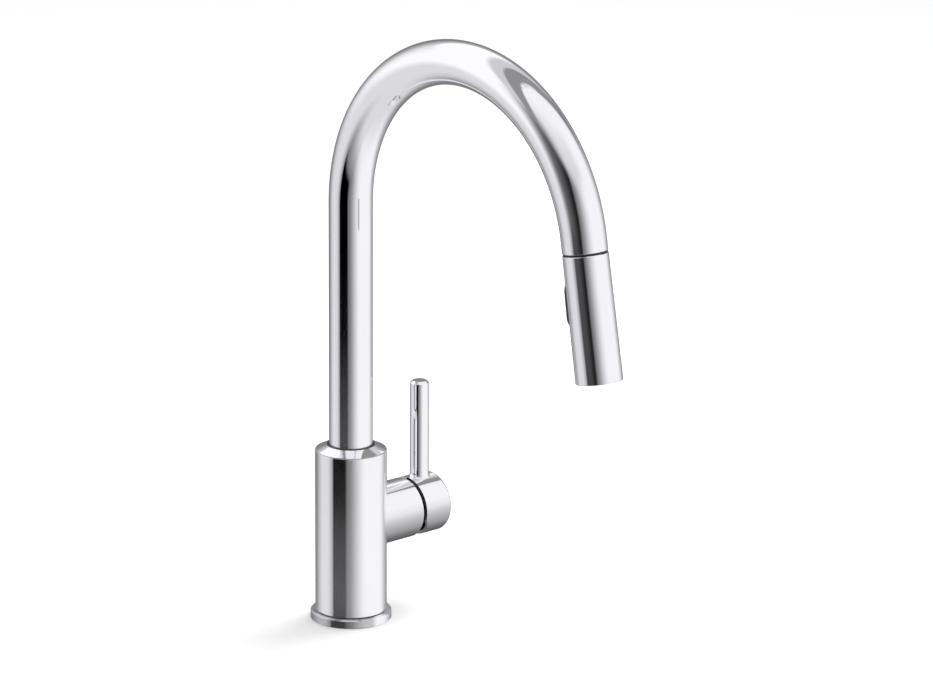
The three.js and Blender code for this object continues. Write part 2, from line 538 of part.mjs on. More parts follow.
function sprayHead() {
  const rim = 0.3;
  const shellOutside = turned([[0, -HEAD_LENGTH], [HEAD_END_R - rim, -HEAD_LENGTH],
    [HEAD_END_R, -HEAD_LENGTH + rim], [HEAD_TOP_R, -rim], [HEAD_TOP_R - rim, 0], [0, 0]], FINE);
  const window = oblong(TOGGLE_WIDTH + 2 * TOGGLE_GAP, TOGGLE_LENGTH + 2 * TOGGLE_GAP, 5, 20);
  const shell = cut(shellOutside, rod(HEAD_BORE, -HEAD_LENGTH - 1, 1, FINE), window);

  const collarR = DOCK_R - SLIDE;
  const collar = turned([[7.2, -4.5], [HEAD_BORE - GAP, -4.5], [HEAD_BORE - GAP, -GAP], [collarR, -GAP],
    [collarR, COLLAR_LENGTH - 1.5], [collarR - 1.5, COLLAR_LENGTH], [7.2, COLLAR_LENGTH], [7.2, -4.5]]);
  const nut = turned([[4.3, -8], [6.1, -8], [6.1, -15.9], [8.3, -15.9], [8.3, -6.3], [4.3, -6.3], [4.3, -8]]);

  const checkValve = cut(rod(4.3, ...down(21, 29), 20), rod(2.4, ...down(20, 26), 12))
    .translate([0, INLET_BORE_Y, 0]);
  const spoolSlot = box(8, 6, 3, 0, 1.4 + 3, -TOGGLE_CENTRE);
  const spoolRod = rod(SPOOL_R, ...down(TOGGLE_CENTRE - 6, TOGGLE_CENTRE + 6), 16);
  const spool = cut(spoolRod.translate([0, SPOOL_Y, 0]), spoolSlot);

  // nozzle pad behind the face plate, its nubs standing in the plate's holes
  const faceLow = HEAD_LENGTH - FACE_RECESS;
  const faceTop = faceLow - 4;
  const padTop = WATERWAY_END + GAP;
  const around = (radius, low, high) => Array.from({ length: NOZZLES }, (_, i) => {
    const angle = (2 * Math.PI * i) / NOZZLES;
    return rod(radius, low, high, 6)
      .translate([NOZZLE_RING_R * Math.cos(angle), NOZZLE_RING_R * Math.sin(angle), 0]);
  });
  const aeratorBore = AERATOR_R + GAP;
  const faceR = HEAD_BORE - GAP;
  const nozzleHoles = around(1.15, ...down(faceTop - 1, faceLow + 1));
  const face = cut(ring(faceR, aeratorBore, ...down(faceTop, faceLow)), ...nozzleHoles);
  const pad = join(ring(faceR, aeratorBore, ...down(padTop, faceTop - GAP)),
    ...around(0.8, ...down(faceTop - 1, faceLow + 0.6)));
  const aeratorCage = cut(rod(AERATOR_R, ...down(padTop, faceLow)),
    rod(AERATOR_R - 1.2, ...down(faceTop, faceLow + 1)), rod(3, ...down(padTop - 1, faceLow)));
  const aeratorScreen = rod(AERATOR_R - 1.5, ...down(faceTop + 1, faceTop + 2.4));
  return [
    mesh('head_shell', shell, chrome),
    mesh('head_collar', collar, greyPlastic),
    mesh('hose_swivel_nut', nut, brass),
    mesh('inlet_screen', ring(6, 1.2, ...down(16.3, 17.3)), steel),
    mesh('inlet_washer', ring(6, 3, ...down(17.6, 19)), rubber),
    mesh('head_waterway', waterway(), greyPlastic),
    mesh('check_valve', checkValve, whitePlastic),
    mesh('diverter_spool', spool, whitePlastic),
    mesh('nozzle_pad', pad, rubber),
    mesh('spray_face', face, greyPlastic),
    mesh('aerator_cage', aeratorCage, whitePlastic),
    mesh('aerator_screen', aeratorScreen, steel),
  ];
}

// ---- assembly ----
const faucet = new THREE.Group();
faucet.add(...deckFixing(), ...column(), ...valve(), ...cartridge(), bonnet());
faucet.add(...handle(), ...spout(), ...hoses());

const head = new THREE.Group();
head.position.copy(new Gooseneck(0, OUTLET_RUN).getPoint(1));
head.rotation.x = -OUTLET_TILT;
head.add(dockBush(), hoseEnd(), ...sprayHead(), ...toggle());
faucet.add(head);

export default faucet;
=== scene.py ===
import bpy
import bmesh
import json
import math
from mathutils import Matrix, Vector


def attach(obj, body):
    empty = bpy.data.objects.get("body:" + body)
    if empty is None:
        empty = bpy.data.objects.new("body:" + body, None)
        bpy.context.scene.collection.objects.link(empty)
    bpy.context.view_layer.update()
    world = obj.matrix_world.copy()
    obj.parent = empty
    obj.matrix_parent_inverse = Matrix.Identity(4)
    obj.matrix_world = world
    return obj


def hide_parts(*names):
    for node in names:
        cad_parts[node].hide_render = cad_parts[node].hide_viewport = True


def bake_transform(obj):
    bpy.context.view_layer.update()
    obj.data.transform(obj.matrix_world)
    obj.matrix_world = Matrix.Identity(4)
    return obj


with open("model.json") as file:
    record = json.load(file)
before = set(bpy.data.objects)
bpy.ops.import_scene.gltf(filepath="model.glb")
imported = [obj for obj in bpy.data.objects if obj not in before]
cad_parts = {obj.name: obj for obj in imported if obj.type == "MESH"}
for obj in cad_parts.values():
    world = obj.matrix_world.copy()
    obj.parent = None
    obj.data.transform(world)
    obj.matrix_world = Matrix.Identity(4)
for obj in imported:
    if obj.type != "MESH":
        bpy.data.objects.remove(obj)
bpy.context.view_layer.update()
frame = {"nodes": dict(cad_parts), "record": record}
mm = 0.001
slots = {entry["node"]: entry["material_slot"] for entry in frame["record"]["subparts"]}
bodies = {node: body for body, nodes in frame["record"]["behaviour"]["bodies"].items() for node in nodes}

# metres and degrees; a negative azimuth looks from the left of the front
view = {
    "azimuth": -41.1,
    "elevation": 16.2,
    "distance": 3.438,
    "aim": (0.0045, -0.0093, 0.1859),
    "lens": 200.5,
    "sensor": 36,
    "shiftX": 0.1086,
    "shiftY": 0.0021,
    "farthest": 50,
}


def viewAxes():
    a = math.radians(view["azimuth"])
    e = math.radians(view["elevation"])
    back = Vector((math.sin(a) * math.cos(e), -math.cos(a) * math.cos(e), math.sin(e)))
    right = Vector((math.cos(a), math.sin(a), 0))
    return right, back.cross(right), back


def makeCamera():
    right, up, back = viewAxes()
    data = bpy.data.cameras.new("camera")
    data.lens = view["lens"]
    data.sensor_width = view["sensor"]
    data.shift_x = view["shiftX"]
    data.shift_y = view["shiftY"]
    data.clip_end = view["farthest"]
    camera = bpy.data.objects.new("camera", data)
    place = Vector(view["aim"]) + back * view["distance"]
    turn = Matrix((right, up, back)).transposed()
    camera.matrix_world = Matrix.Translation(place) @ turn.to_4x4()
    bpy.context.collection.objects.link(camera)
    bpy.context.scene.camera = camera


def addNode(tree, kind, **settings):
    node = tree.nodes.new(kind)
    for name, value in settings.items():
        setattr(node, name, value)
    return node


def mathNode(tree, operation, *values):
    node = addNode(tree, "ShaderNodeMath", operation=operation)
    for i, value in enumerate(values):
        if isinstance(value, (int, float)):
            node.inputs[i].default_value = value
        else:
            tree.links.new(value, node.inputs[i])
    return node.outputs[0]


def dotNode(tree, value, axis):
    node = addNode(tree, "ShaderNodeVectorMath", operation="DOT_PRODUCT")
    tree.links.new(value, node.inputs[0])
    node.inputs[1].default_value = axis
    return node.outputs["Value"]


def rangeNode(tree, value, low, high, toLow=0.0, toHigh=1.0, smooth=True):
    node = addNode(tree, "ShaderNodeMapRange", interpolation_type="SMOOTHSTEP" if smooth else "LINEAR")
    tree.links.new(value, node.inputs["Value"])
    for name, number in (("From Min", low), ("From Max", high), ("To Min", toLow), ("To Max", toHigh)):
        node.inputs[name].default_value = number
    return node.outputs["Result"]


def rampNode(tree, value, stops):
    node = addNode(tree, "ShaderNodeValToRGB")
    elements = node.color_ramp.elements
    while len(elements) < len(stops):
        elements.new(1.0)
    for element, (place, level) in zip(elements, stops):
        element.position = place
        element.color = (level, level, level, 1)
    tree.links.new(value, node.inputs[0])
    return node.outputs[0]


def mixNode(tree, share, a, b, kind="FLOAT", blend="MIX"):
    node = addNode(tree, "ShaderNodeMix", data_type=kind)
    if kind == "RGBA":
        node.blend_type = blend
    # the sockets that this kind of value uses: the share, the two values and the result
    *given, result = {"FLOAT": (0, 2, 3, 0), "RGBA": (0, 6, 7, 2)}[kind]
    for place, value in zip(given, (share, a, b)):
        if isinstance(value, (int, float, tuple)):
            node.inputs[place].default_value = value
        else:
            tree.links.new(value, node.inputs[place])
    return node.outputs[result]


# What the chrome mirrors, painted in order. Bearings are degrees to the right of the camera, heights are
# degrees, and each edge is a place and half the width of its fade.
studio = {
    "base": 0.72,
    "strength": 1.05,
    "cards": [
        # right wall
        {"level": 0.93, "bearing": 80, "left": (-77, 12), "right": (47, 16), "low": (-62, 24)},
        # dim wall across the room
        {"level": 0.21, "bearing": -169, "left": (-56, 34), "right": (45, 25), "low": (-56, 18),
         "high": (28, 17)},
        # left wall
        {"level": 1.0, "bearing": -104, "left": (-37, 30), "right": (34, 10), "low": (-5, 11)},
        # dim room round the camera, and the glow above it
        {"level": 0.17, "bearing": -13, "left": (-53, 17), "right": (31, 34), "low": (-42, 17),
         "high": (42, 15)},
        {"level": 0.66, "bearing": 10, "left": (-28, 22), "right": (50, 30), "low": (32, 9),
         "high": (70, 15)},
        # black flag on the floor, and its shade higher up
        {"level": 0.0, "bearing": -37, "left": (-22.5, 3), "right": (22, 5), "low": (-28, 3),
         "high": (-8, 7)},
        {"level": 0.01, "bearing": -33, "left": (-9, 30), "right": (22, 6), "low": (-10, 7),
         "high": (30, 6)},
        # stand of the rear soft box
        {"level": 0.20, "bearing": 138, "left": (-8, 4), "right": (8, 5), "low": (14, 8),
         "high": (60, 8)},
        # soft box overhead
        {"level": 0.93, "bearing": 44, "left": (-102, 4), "right": (88, 4), "low": (56, 28)},
    ],
    "ceiling": (32, 3),
    "seam": (-136, -10),      # pole of the great circle where the two soft boxes meet
    "seamHalf": 6.5,
    "seamFade": 1.5,
    "seamLevel": 0.28,
    "halo": (17, 3),
    "haloLevel": 0.62,
}


def fadeNode(tree, value, edge, rising=True):
    place, half = edge
    ends = (0, 1) if rising else (1, 0)
    return rangeNode(tree, value, place - half, place + half, *ends)


def paintCard(tree, light, bearing, height, card):
    across = mathNode(tree, "WRAP", mathNode(tree, "SUBTRACT", bearing, card["bearing"]), 180, -180)
    share = mathNode(tree, "MULTIPLY", fadeNode(tree, across, card["left"]),
                     fadeNode(tree, across, card["right"], False))
    share = mathNode(tree, "MULTIPLY", share, fadeNode(tree, height, card["low"]))
    if "high" in card:
        share = mathNode(tree, "MULTIPLY", share, fadeNode(tree, height, card["high"], False))
    return mixNode(tree, share, light, card["level"])


def makeWorld():
    world = bpy.data.worlds.new("studio")
    bpy.context.scene.world = world
    world.use_nodes = True
    tree = world.node_tree
    tree.nodes.clear()
    coordinates = addNode(tree, "ShaderNodeTexCoord")
    turn = addNode(tree, "ShaderNodeVectorRotate", rotation_type="Z_AXIS")
    back = viewAxes()[2]
    turn.inputs["Angle"].default_value = -math.atan2(back.y, back.x)
    tree.links.new(coordinates.outputs["Generated"], turn.inputs["Vector"])
    parts = addNode(tree, "ShaderNodeSeparateXYZ")
    tree.links.new(turn.outputs["Vector"], parts.inputs[0])
    x, y, z = parts.outputs
    bearing = mathNode(tree, "DEGREES", mathNode(tree, "ARCTAN2", y, x))
    height = mathNode(tree, "DEGREES", mathNode(tree, "ARCSINE", z))
    light = studio["base"]
    for card in studio["cards"]:
        light = paintCard(tree, light, bearing, height, card)

    around, rise = (math.radians(part) for part in studio["seam"])
    pole = (math.cos(around) * math.cos(rise), math.sin(around) * math.cos(rise), math.sin(rise))
    away = mathNode(tree, "DEGREES", mathNode(tree, "ARCSINE", dotNode(tree, turn.outputs["Vector"], pole)))
    half, fade = studio["seamHalf"], studio["seamFade"]
    above = fadeNode(tree, height, studio["ceiling"])
    rear = mixNode(tree, fadeNode(tree, away, studio["halo"]), studio["haloLevel"], 1.0)
    rear = mixNode(tree, fadeNode(tree, away, (half, fade)), studio["seamLevel"], rear)
    behind = mathNode(tree, "MULTIPLY", fadeNode(tree, away, (-half, fade)), above)
    light = mixNode(tree, behind, light, rear)

    mirrored = addNode(tree, "ShaderNodeBackground")
    mirrored.inputs["Strength"].default_value = studio["strength"]
    tree.links.new(light, mirrored.inputs["Color"])
    plain = addNode(tree, "ShaderNodeBackground")
    plain.inputs["Color"].default_value = (1, 1, 1, 1)
    path = addNode(tree, "ShaderNodeLightPath")
    mix = addNode(tree, "ShaderNodeMixShader")
    tree.links.new(path.outputs["Is Glossy Ray"], mix.inputs["Fac"])
    tree.links.new(plain.outputs[0], mix.inputs[1])
    tree.links.new(mirrored.outputs[0], mix.inputs[2])
    output = addNode(tree, "ShaderNodeOutputWorld")
    tree.links.new(mix.outputs[0], output.inputs["Surface"])


def newMaterial(name, color, roughness, metallic=0.0):
    material = bpy.data.materials.new(name)
    material.use_nodes = True
    shader = material.node_tree.nodes["Principled BSDF"]
    shader.inputs["Base Color"].default_value = (*color, 1)
    shader.inputs["Roughness"].default_value = roughness
    shader.inputs["Metallic"].default_value = metallic
    return material, shader


paper = {"radius": 12.0, "sides": 96, "color": (0.93, 0.93, 0.93), "roughness": 0.9}


def makeFloor():
    bm = bmesh.new()
    bmesh.ops.create_circle(bm, cap_ends=True, segments=paper["sides"], radius=paper["radius"])
    mesh = bpy.data.meshes.new("floor")
    bm.to_mesh(mesh)
    bm.free()
    floor = bpy.data.objects.new("floor", mesh)
    bpy.context.collection.objects.link(floor)
    material, shader = newMaterial("paper", paper["color"], paper["roughness"])
    shader.inputs["Specular IOR Level"].default_value = 0.0
    mesh.materials.append(material)
    floor.visible_glossy = False     # the chrome mirrors the studio, not the paper


# metres and watts, with the bearing to the right of the camera
keyLight = {"size": 0.9, "power": 10.5, "bearing": 134, "height": 1.15, "away": 0.9}


def makeKeyLight():
    right, up, back = viewAxes()
    front = Vector((back.x, back.y, 0)).normalized()
    bearing = math.radians(keyLight["bearing"])
    place = (front * math.cos(bearing) + right * math.sin(bearing)) * keyLight["away"]
    place.z = keyLight["height"]
    data = bpy.data.lights.new("key", "AREA")
    data.shape = "DISK"
    data.size = keyLight["size"]
    data.energy = keyLight["power"]
    light = bpy.data.objects.new("key", data)
    light.matrix_world = Matrix.Translation(place) @ place.to_track_quat("Z", "Y").to_matrix().to_4x4()
    light.visible_glossy = False
    bpy.context.collection.objects.link(light)


makeCamera()
makeWorld()
makeFloor()
makeKeyLight()
bpy.context.scene.view_settings.view_transform = "Standard"
print("stage ready")


def newGroup(name, inputs, outputs):
    tree = bpy.data.node_groups.new(name, "ShaderNodeTree")
    for label, value in inputs.items():
        socket = tree.interface.new_socket(label, in_out="INPUT", socket_type="NodeSocketFloat")
        socket.default_value = value
    for label in outputs:
        tree.interface.new_socket(label, in_out="OUTPUT", socket_type="NodeSocketFloat")
    return tree, addNode(tree, "NodeGroupInput"), addNode(tree, "NodeGroupOutput")


def makeGrainGroup():
    # fine noise as height and as a slow change of tone
    tree, given, made = newGroup("surfaceGrain", {"Scale": 400.0, "Patch": 30.0}, ["Grain", "Patches"])
    coordinates = addNode(tree, "ShaderNodeTexCoord")
    for scale, result, detail in (("Scale", "Grain", 3), ("Patch", "Patches", 5)):
        noise = addNode(tree, "ShaderNodeTexNoise")
        noise.inputs["Detail"].default_value = detail
        tree.links.new(coordinates.outputs["Object"], noise.inputs["Vector"])
        tree.links.new(given.outputs[scale], noise.inputs["Scale"])
        tree.links.new(noise.outputs["Fac"], made.inputs[result])
    return tree


grainGroup = makeGrainGroup()
patchRange = {"tone": (0.35, 0.65), "roughness": (0.3, 0.7)}     # the part of the noise that a change spans


def bumpNode(tree, height, shader, strength, depth):
    lift = addNode(tree, "ShaderNodeBump")
    lift.inputs["Strength"].default_value = strength
    lift.inputs["Distance"].default_value = depth
    tree.links.new(height, lift.inputs["Height"])
    tree.links.new(lift.outputs["Normal"], shader.inputs["Normal"])


def makeFinish(name, color, change, roughness, spread, scale, patch, bump=0.0, depth=0.0, metallic=0.0):
    # tone and roughness drift in patches, and the grain lifts the surface by depth metres
    material, shader = newMaterial(name, color, roughness, metallic)
    tree = material.node_tree
    grain = addNode(tree, "ShaderNodeGroup", node_tree=grainGroup)
    grain.inputs["Scale"].default_value = scale
    grain.inputs["Patch"].default_value = patch
    patches = rangeNode(tree, grain.outputs["Patches"], *patchRange["tone"])
    dark = tuple(part * (1 - change) for part in color)
    tone = mixNode(tree, patches, (*dark, 1), (*color, 1), "RGBA")
    tree.links.new(tone, shader.inputs["Base Color"])
    rough = rangeNode(tree, grain.outputs["Patches"], *patchRange["roughness"], roughness - spread,
                      roughness + spread)
    tree.links.new(rough, shader.inputs["Roughness"])
    if bump > 0:
        bumpNode(tree, grain.outputs["Grain"], shader, bump, depth)
    return material, tree, shader, tone


polish = {"color": (0.936, 0.927, 0.966), "change": 0.012, "roughness": 0.03, "spread": 0.012,
          "scale": 900, "patch": 45, "metallic": 1.0}

# how much of the polish is lost to haze, by height in metres
hazeStops = [(0.0, 0.10), (0.02, 0.11), (0.06, 0.075), (0.09, 0.026), (0.117, 0.010), (0.1175, 0.085),
             (0.16, 0.042), (0.20, 0.008), (0.26, 0.0)]
# painted shade on the underside of the hub and the handle: how much of the colour is kept, by height in
# metres
paintedUnderShade = [(0.046, 0.26), (0.056, 0.30), (0.060, 0.40), (0.063, 0.50), (0.0668, 0.66), (0.0705, 0.88),
              (0.075, 1.0)]
# painted reflection on the base ring: its colour is darkened as if it mirrored the dim foot of the room, but
# for its end towards the right wall; places run along the camera's right in metres
paintedRingReflection = [(-0.0275, 0.82), (-0.0235, 0.60), (0.004, 0.60), (0.014, 0.58), (0.0175, 1.0)]


def placeRamp(tree, stops, axis=(0, 0, 1)):
    coordinates = addNode(tree, "ShaderNodeTexCoord")
    along = dotNode(tree, coordinates.outputs["Object"], axis)
    low, top = stops[0][0], stops[-1][0]
    place = rangeNode(tree, along, low, top, smooth=False)
    return rampNode(tree, place, [((at - low) / (top - low), share) for at, share in stops])


def makeChrome(name, haze=(), shade=(), shadeAxis=(0, 0, 1)):
    material, tree, shader, tone = makeFinish(name, **polish)
    if haze:
        metal = mathNode(tree, "SUBTRACT", 1.0, placeRamp(tree, haze))
        tree.links.new(metal, shader.inputs["Metallic"])
    # painted shade: the colour is multiplied by a ramp of places along the shade axis
    if shade:
        shaded = mixNode(tree, 1.0, tone, placeRamp(tree, shade, shadeAxis), "RGBA", "MULTIPLY")
        tree.links.new(shaded, shader.inputs["Base Color"])
    return material


outlet = {"tilt": math.radians(10), "bendRadius": 112, "bendHeight": 287.5, "run": 9.5, "runSteps": 2,
          "riseSteps": 6}


def outletFrame():
    # the spray head's own frame: origin at its top rim, local -Z down the outlet
    t = outlet["tilt"]
    y = -outlet["bendRadius"] * (1 + math.cos(t)) - outlet["run"] * math.sin(t)
    z = outlet["bendHeight"] + outlet["bendRadius"] * math.sin(t) - outlet["run"] * math.cos(t)
    return Matrix.Translation(Vector((0, y, z)) * mm) @ Matrix.Rotation(-t, 4, "X")


headFrame = outletFrame()

hose = {"radius": 5.5, "foot": 100.4, "end": 0.8, "stretch": 28, "sides": 32, "bendSteps": 110,
        "pitch": 2.6, "strands": 18, "weaveLow": 0.2, "bump": 0.8, "depth": 0.0003, "roughness": 0.45,
        "dark": (0.012, 0.012, 0.013), "light": (0.30, 0.305, 0.31)}


def makeBraid():
    # two crossing sets of strands round the outlet's axis, from the bearing and the height in its frame
    material, shader = newMaterial("hoseBraid", hose["light"], hose["roughness"])
    tree = material.node_tree
    coordinates = addNode(tree, "ShaderNodeTexCoord")
    turned = addNode(tree, "ShaderNodeMapping", vector_type="TEXTURE")
    turned.inputs["Location"].default_value = headFrame.translation
    turned.inputs["Rotation"].default_value = (-outlet["tilt"], 0, 0)
    tree.links.new(coordinates.outputs["Object"], turned.inputs["Vector"])
    parts = addNode(tree, "ShaderNodeSeparateXYZ")
    tree.links.new(turned.outputs["Vector"], parts.inputs[0])
    bearing = mathNode(tree, "ARCTAN2", parts.outputs[1], parts.outputs[0])
    around = mathNode(tree, "MULTIPLY", bearing, hose["strands"])
    along = mathNode(tree, "MULTIPLY", parts.outputs[2], 2 * math.pi / (hose["pitch"] * mm))
    one = mathNode(tree, "SINE", mathNode(tree, "ADD", around, along))
    two = mathNode(tree, "SINE", mathNode(tree, "SUBTRACT", around, along))
    height = rangeNode(tree, mathNode(tree, "MAXIMUM", one, two), hose["weaveLow"], 1.0)
    tone = mixNode(tree, height, (*hose["dark"], 1), (*hose["light"], 1), "RGBA")
    tree.links.new(tone, shader.inputs["Base Color"])
    bumpNode(tree, height, shader, hose["bump"], hose["depth"])
    return material


# one finish for each slot; grain and patches are per metre, the depth of the grain is in metres
finishes = {
    "brass": {"name": "machinedBrass", "color": (0.72, 0.53, 0.22), "change": 0.25, "roughness": 0.30,
              "spread": 0.08, "scale": 700, "patch": 60, "bump": 0.15, "depth": 0.0001, "metallic": 1.0},
    "steel": {"name": "satinSteel", "color": (0.60, 0.61, 0.62), "change": 0.15, "roughness": 0.32,
              "spread": 0.07, "scale": 1200, "patch": 80, "bump": 0.15, "depth": 0.00008, "metallic": 1.0},
    "rubber": {"name": "blackRubber", "color": (0.018, 0.018, 0.019), "change": 0.3, "roughness": 0.62,
               "spread": 0.08, "scale": 1500, "patch": 90, "bump": 0.3, "depth": 0.0001},
    "black_plastic": {"name": "blackPlastic", "color": (0.012, 0.012, 0.014), "change": 0.2,
                      "roughness": 0.36, "spread": 0.05, "scale": 1800, "patch": 120, "bump": 0.2,
                      "depth": 0.00006},
    "grey_plastic": {"name": "greyPlastic", "color": (0.085, 0.088, 0.092), "change": 0.15,
                     "roughness": 0.42, "spread": 0.05, "scale": 1800, "patch": 120, "bump": 0.25,
                     "depth": 0.00006},
    "white_plastic": {"name": "whitePlastic", "color": (0.74, 0.73, 0.69), "change": 0.06,
                      "roughness": 0.38, "spread": 0.05, "scale": 1500, "patch": 90, "bump": 0.2,
                      "depth": 0.00006},
    "ceramic": {"name": "polishedCeramic", "color": (0.87, 0.85, 0.80), "change": 0.04, "roughness": 0.14,
                "spread": 0.04, "scale": 2500, "patch": 90, "bump": 0.1, "depth": 0.00003},
}
materials = {slot: makeFinish(**finish)[0] for slot, finish in finishes.items()}
materials["chrome"] = makeChrome("polishedChrome")
materials["hose_braid"] = makeBraid()
columnChrome = makeChrome("columnChrome", hazeStops)
# the hub and handle get painted shade underneath, the base ring a painted reflection
hubChrome = makeChrome("hubChrome", shade=paintedUnderShade)
ringChrome = makeChrome("ringChrome", hazeStops, paintedRingReflection, viewAxes()[0])

# every CAD node takes its slot's finish; the ones that no piece stands for keep it
for node, slot in slots.items():
    mesh = frame["nodes"][node].data
    mesh.materials.clear()
    mesh.materials.append(materials[slot])
print("materials ready")

alongX = Matrix.Rotation(math.radians(90), 4, "Y")   # local Z becomes X


def turnProfile(profile, steps=128, closed=True):
    # a line of (radius, height) in mm spun about Z
    bm = bmesh.new()
    verts = [bm.verts.new((radius * mm, 0, height * mm)) for radius, height in profile]
    pairs = list(zip(verts, verts[1:]))
    if closed:
        pairs.append((verts[-1], verts[0]))
    edges = [bm.edges.new(pair) for pair in pairs]
    bmesh.ops.spin(bm, geom=verts + edges, axis=(0, 0, 1), cent=(0, 0, 0), angle=2 * math.pi,
                   steps=steps, use_merge=True)
    bmesh.ops.remove_doubles(bm, verts=bm.verts, dist=1e-7)
    bmesh.ops.recalc_face_normals(bm, faces=bm.faces)
    return bm


def ringProfile(outer, inner, low, high):
    return [(inner, low), (outer, low), (outer, high), (inner, high)]


def roundRims(bm, width, segments=3, angle=35, where=None):
    rims = [e for e in bm.edges if e.is_manifold and e.calc_face_angle(0) > math.radians(angle)
            and (where is None or where(e))]
    bmesh.ops.bevel(bm, geom=rims, offset=width * mm, segments=segments, profile=0.5, affect="EDGES",
                    material=-1, clamp_overlap=True)


def higherThan(height, longest=math.inf):
    # picks the edges above a height, and no longer than the longest, both in mm
    return lambda e: min(v.co.z for v in e.verts) > height * mm and e.calc_length() < longest * mm


def move(bm, matrix):
    bmesh.ops.transform(bm, matrix=matrix, verts=bm.verts)
    return bm


def shift(x=0.0, y=0.0, z=0.0):
    return Matrix.Translation(Vector((x, y, z)) * mm)


def joinAll(first, *others):
    for other in others:
        mesh = bpy.data.meshes.new("joined")
        other.to_mesh(mesh)
        other.free()
        first.from_mesh(mesh)
        bpy.data.meshes.remove(mesh)
    return first


def softenEdges(mesh, angle=32):
    bm = bmesh.new()
    bm.from_mesh(mesh)
    for face in bm.faces:
        face.smooth = True
    for edge in bm.edges:
        edge.smooth = not edge.is_manifold or edge.calc_face_angle(0) < math.radians(angle)
    bm.to_mesh(mesh)
    bm.free()


def weightNormals(piece):
    # long faces keep their own direction beside narrow rounded edges
    normals = piece.modifiers.new("normals", "WEIGHTED_NORMAL")
    normals.keep_sharp = True
    normals.weight = 100


def makePiece(bm, name, *nodes, material=None, rides=True):
    # the mesh as an object that stands for its CAD nodes and rides on their body
    mesh = bpy.data.meshes.new(name)
    bm.to_mesh(mesh)
    bm.free()
    piece = bpy.data.objects.new(name, mesh)
    bpy.context.collection.objects.link(piece)
    mesh.materials.append(material or materials[slots[nodes[0]]])
    softenEdges(mesh)
    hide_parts(*nodes)
    if rides:
        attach(piece, bodies[nodes[0]])
        weightNormals(piece)
    return piece


def applyModifiers(piece):
    bpy.context.view_layer.update()
    evaluated = piece.evaluated_get(bpy.context.evaluated_depsgraph_get())
    mesh = bpy.data.meshes.new_from_object(evaluated)
    piece.modifiers.clear()
    piece.data = mesh
    softenEdges(mesh)
    weightNormals(piece)


def giveWall(piece, wall, rim):
    # the wall grows inwards, and its open ends are rounded
    solid = piece.modifiers.new("wall", "SOLIDIFY")
    solid.thickness = wall * mm
    solid.offset = -1
    rims = piece.modifiers.new("rims", "BEVEL")
    rims.width = rim * mm
    rims.segments = 3
    rims.angle_limit = math.radians(50)
    applyModifiers(piece)


baseRing = {"radius": 27.15, "height": 5.8, "chamfer": 0.8, "bore": 16.4, "foot": 0.25, "recessInner": 17.7,
            "recessOuter": 23.8, "recessDepth": 1.5, "rim": 0.12, "steps": 160}


def makeBaseRing():
    b = baseRing
    r, h, k = b["radius"], b["height"], b["chamfer"]
    profile = [(b["bore"], 0), (b["recessInner"], 0), (b["recessInner"], b["recessDepth"]),
               (b["recessOuter"], b["recessDepth"]), (b["recessOuter"], 0), (r - b["foot"], 0),
               (r, b["foot"]), (r, h - k), (r - k, h), (b["bore"], h)]
    bm = turnProfile(profile, b["steps"])
    roundRims(bm, b["rim"], 2, where=higherThan(h - k - 0.1, 2))
    # the ring's colour carries the painted reflection
    makePiece(bm, "baseRing", "base_ring", material=ringChrome)


column = {"radius": 24, "wall": 3.2, "low": 6.1, "top": 117.5, "foot": 0.6, "lip": 0.35, "steps": 192}
hub = {"height": 66.8, "radius": 20.4, "root": 12, "sleeveEnd": 47.5, "bore": 18.2, "rim": 0.35, "steps": 160}


def makeColumn():
    c, h = column, hub
    inner = c["radius"] - c["wall"]
    body = turnProfile([(inner, c["low"]), (c["radius"] - c["foot"], c["low"]),
                        (c["radius"], c["low"] + c["foot"]), (c["radius"], c["top"]), (inner, c["top"])],
                       c["steps"])
    roundRims(body, c["lip"], 4, where=higherThan(c["top"] - 0.1))
    sleeve = turnProfile(ringProfile(h["radius"], h["bore"], h["root"], h["sleeveEnd"]), h["steps"])
    roundRims(sleeve, h["rim"], 4, where=higherThan(h["sleeveEnd"] - 0.1))
    move(sleeve, shift(z=h["height"]) @ alongX)
    # the sleeve takes the second material, whose colour carries the painted shade under the hub
    for face in sleeve.faces:
        face.material_index = 1
    piece = makePiece(joinAll(body, sleeve), "columnShell", "body_shell", material=columnChrome)
    piece.data.materials.append(hubChrome)


# seat and groove make the fine line between the column and the cone
collar = {"rise": 3.8, "inner": 16.35, "throat": 14.9, "seat": 0.25, "edge": 0.3, "groove": 0.15,
          "skirt": 20.5, "skirtDepth": 5, "recess": 2.5, "steps": 192}
slipRing = {"outer": 16.1, "inner": 14.7, "depth": 2.2, "proud": 0.35, "rim": 0.2, "steps": 128}


def makeCollar():
    c = collar
    low = column["top"] + c["seat"]
    top = column["top"] + c["rise"]
    outer = column["radius"] - c["edge"]
    cone = turnProfile([(c["throat"], low - c["skirtDepth"]), (c["skirt"], low - c["skirtDepth"]),
                        (c["skirt"], low), (outer, low), (outer, low + c["groove"]), (c["inner"], top),
                        (c["inner"], top - c["recess"]), (c["throat"], top - c["recess"])], c["steps"])
    makePiece(cone, "spoutCollar", "spout_collar")
    r = slipRing
    ring = turnProfile(ringProfile(r["outer"], r["inner"], top - r["depth"], top + r["proud"]), r["steps"])
    roundRims(ring, r["rim"])
    makePiece(ring, "slipRing", "collar_slip_ring")


bonnet = {"bore": 9.5, "back": 43.8, "gap": 0.4, "shoulder": 0.5, "slope": 1.7, "rim": 0.3, "steps": 96}


def makeBonnet():
    b = bonnet
    outer, end = hub["bore"] - b["gap"], hub["sleeveEnd"]
    bm = turnProfile([(b["bore"], b["back"]), (outer, b["back"]), (outer, end - b["shoulder"]),
                      (outer - b["slope"], end + b["slope"]), (b["bore"], end + b["slope"])], b["steps"])
    roundRims(bm, b["rim"])
    makePiece(move(bm, shift(z=hub["height"]) @ alongX), "bonnetCover", "bonnet")


makeBaseRing()
makeColumn()
makeCollar()
makeBonnet()
print("column ready")

